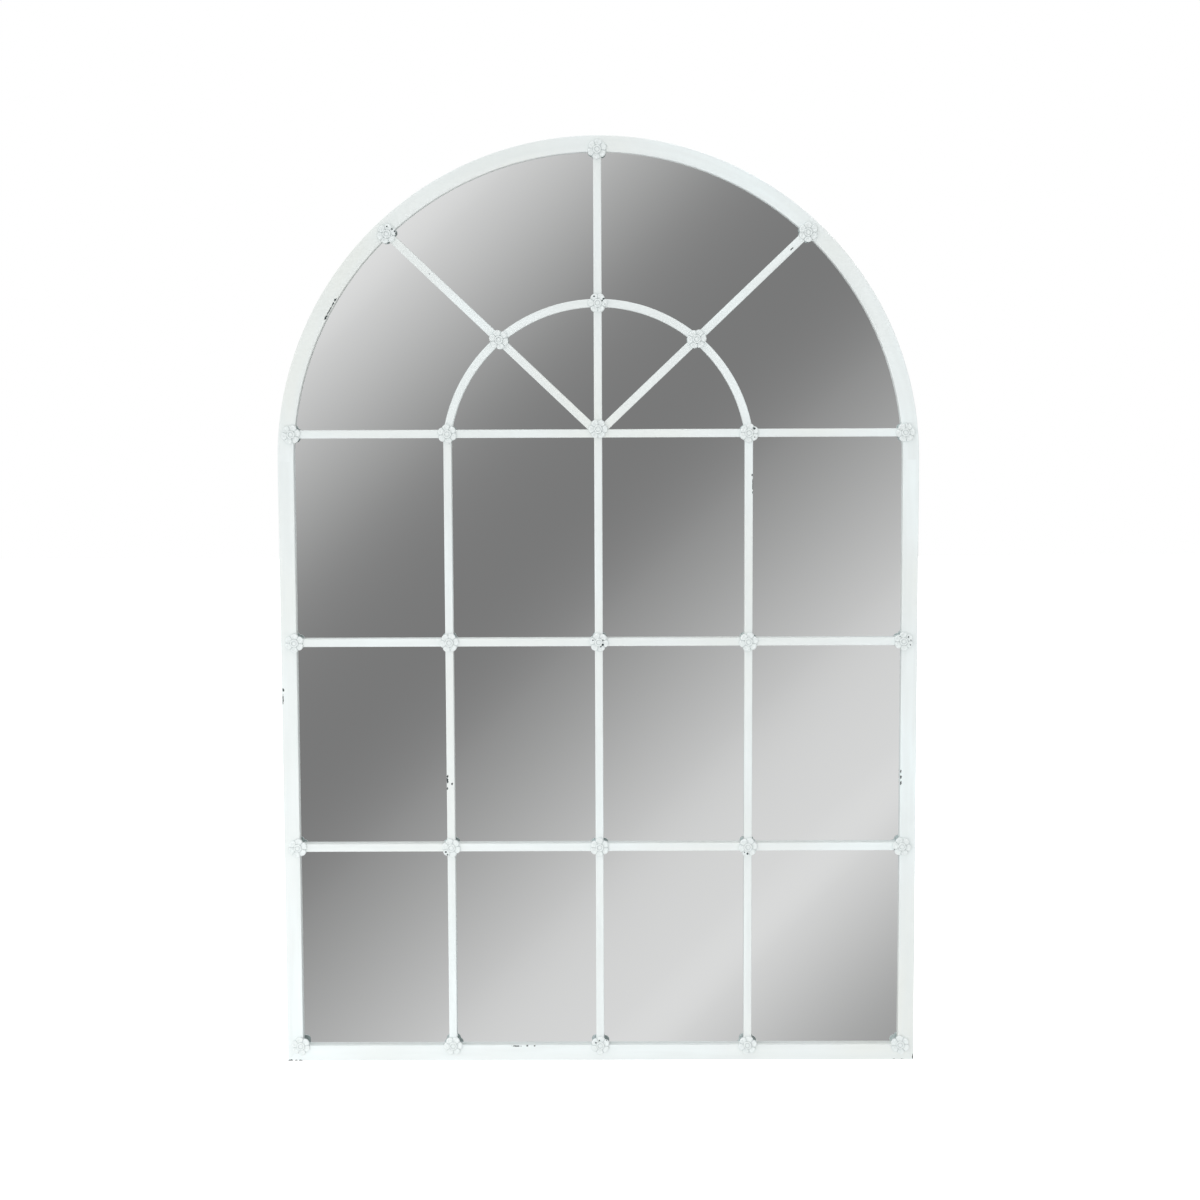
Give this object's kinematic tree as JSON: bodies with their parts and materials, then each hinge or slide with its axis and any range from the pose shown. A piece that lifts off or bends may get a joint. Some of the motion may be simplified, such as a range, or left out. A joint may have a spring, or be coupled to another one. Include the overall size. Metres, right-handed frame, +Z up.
{
  "type": "arched window mirror",
  "caption": "Arched wall mirror made like a divided window: painted steel frame and glazing bars with a rosette on each crossing, over a sheet of mirror glass.",
  "frame": {"origin": "middle of the underside of the front bottom rail, half way through that rail's depth", "axes": "+Z up, the mirror faces -Y, +X is to the right of someone who looks into it"},
  "size_m": [1, 0.0316, 1.4574],
  "materials": {
    "painted_steel": "antique white brush paint, satin, worn through at some edges",
    "painted_casting": "antique white brush paint over dark cast metal, worn on the high points",
    "mirror_glass": "silvered glass",
    "board": "plain hardboard",
    "plated_steel": "zinc plated",
    "rubber": "matt"
  },
  "bodies": {
    "window_frame": {"backing_board": "board", "bottom_rail": "painted_steel", "centre_bar": "painted_steel", "hanger_screws": "plated_steel", "inner_arch": "painted_steel", "left_bar": "painted_steel", "left_hanger_strap": "plated_steel", "left_spoke": "painted_steel", "left_stile": "painted_steel", "lower_cross_bar": "painted_steel", "mirror_glass": "mirror_glass", "outer_arch": "painted_steel", "rear_arch": "painted_steel", "rear_bottom_rail": "painted_steel", "rear_left_stile": "painted_steel", "rear_right_stile": "painted_steel", "right_bar": "painted_steel", "right_hanger_strap": "plated_steel", "right_spoke": "painted_steel", "right_stile": "painted_steel", "rosette_arch_left": "painted_casting", "rosette_arch_right": "painted_casting", "rosette_arch_top": "painted_casting", "rosette_hub": "painted_casting", "rosette_inner_arch_left": "painted_casting", "rosette_inner_arch_right": "painted_casting", "rosette_inner_arch_top": "painted_casting", "rosette_lower_centre": "painted_casting", "rosette_lower_left_bar": "painted_casting", "rosette_lower_left_stile": "painted_casting", "rosette_lower_right_bar": "painted_casting", "rosette_lower_right_stile": "painted_casting", "rosette_rail_centre": "painted_casting", "rosette_rail_left_bar": "painted_casting", "rosette_rail_left_stile": "painted_casting", "rosette_rail_right_bar": "painted_casting", "rosette_rail_right_stile": "painted_casting", "rosette_springline_left_bar": "painted_casting", "rosette_springline_left_stile": "painted_casting", "rosette_springline_right_bar": "painted_casting", "rosette_springline_right_stile": "painted_casting", "rosette_upper_centre": "painted_casting", "rosette_upper_left_bar": "painted_casting", "rosette_upper_left_stile": "painted_casting", "rosette_upper_right_bar": "painted_casting", "rosette_upper_right_stile": "painted_casting", "springline_bar": "painted_steel", "turn_button_screws": "plated_steel", "upper_cross_bar": "painted_steel", "wall_bumpers": "rubber"},
    "button_left_low": {"turn_button_left_low": "plated_steel"},
    "button_left_high": {"turn_button_left_high": "plated_steel"},
    "button_right_low": {"turn_button_right_low": "plated_steel"},
    "button_right_high": {"turn_button_right_high": "plated_steel"},
    "button_bottom_left": {"turn_button_bottom_left": "plated_steel"},
    "button_bottom_right": {"turn_button_bottom_right": "plated_steel"},
    "button_arch_left": {"turn_button_arch_left": "plated_steel"},
    "button_arch_right": {"turn_button_arch_right": "plated_steel"},
    "left_ring": {"left_hanger_ring": "plated_steel"},
    "right_ring": {"right_hanger_ring": "plated_steel"}
  },
  "joints": [
    {"name": "button_left_low_turn", "type": "hinge", "parent": "window_frame", "child": "button_left_low", "pos_m": [-0.491, 0.01545, 0.26], "axis": [0, 1, 0], "continuous": true},
    {"name": "button_left_high_turn", "type": "hinge", "parent": "window_frame", "child": "button_left_high", "pos_m": [-0.491, 0.01545, 0.72], "axis": [0, 1, 0], "continuous": true},
    {"name": "button_right_low_turn", "type": "hinge", "parent": "window_frame", "child": "button_right_low", "pos_m": [0.491, 0.01545, 0.26], "axis": [0, 1, 0], "continuous": true},
    {"name": "button_right_high_turn", "type": "hinge", "parent": "window_frame", "child": "button_right_high", "pos_m": [0.491, 0.01545, 0.72], "axis": [0, 1, 0], "continuous": true},
    {"name": "button_bottom_left_turn", "type": "hinge", "parent": "window_frame", "child": "button_bottom_left", "pos_m": [-0.25, 0.01545, 0.009], "axis": [0, 1, 0], "continuous": true},
    {"name": "button_bottom_right_turn", "type": "hinge", "parent": "window_frame", "child": "button_bottom_right", "pos_m": [0.25, 0.01545, 0.009], "axis": [0, 1, 0], "continuous": true},
    {"name": "button_arch_left_turn", "type": "hinge", "parent": "window_frame", "child": "button_arch_left", "pos_m": [-0.30229, 0.01545, 1.34441], "axis": [0, 1, 0], "continuous": true},
    {"name": "button_arch_right_turn", "type": "hinge", "parent": "window_frame", "child": "button_arch_right", "pos_m": [0.30229, 0.01545, 1.34441], "axis": [0, 1, 0], "continuous": true},
    {"name": "left_ring_swing", "type": "hinge", "parent": "window_frame", "child": "left_ring", "pos_m": [-0.4895, 0.01758, 0.9275], "axis": [1, 0, 0], "range_deg": [-2, 187]},
    {"name": "right_ring_swing", "type": "hinge", "parent": "window_frame", "child": "right_ring", "pos_m": [0.4895, 0.01758, 0.9275], "axis": [1, 0, 0], "range_deg": [-2, 187]}
  ]
}
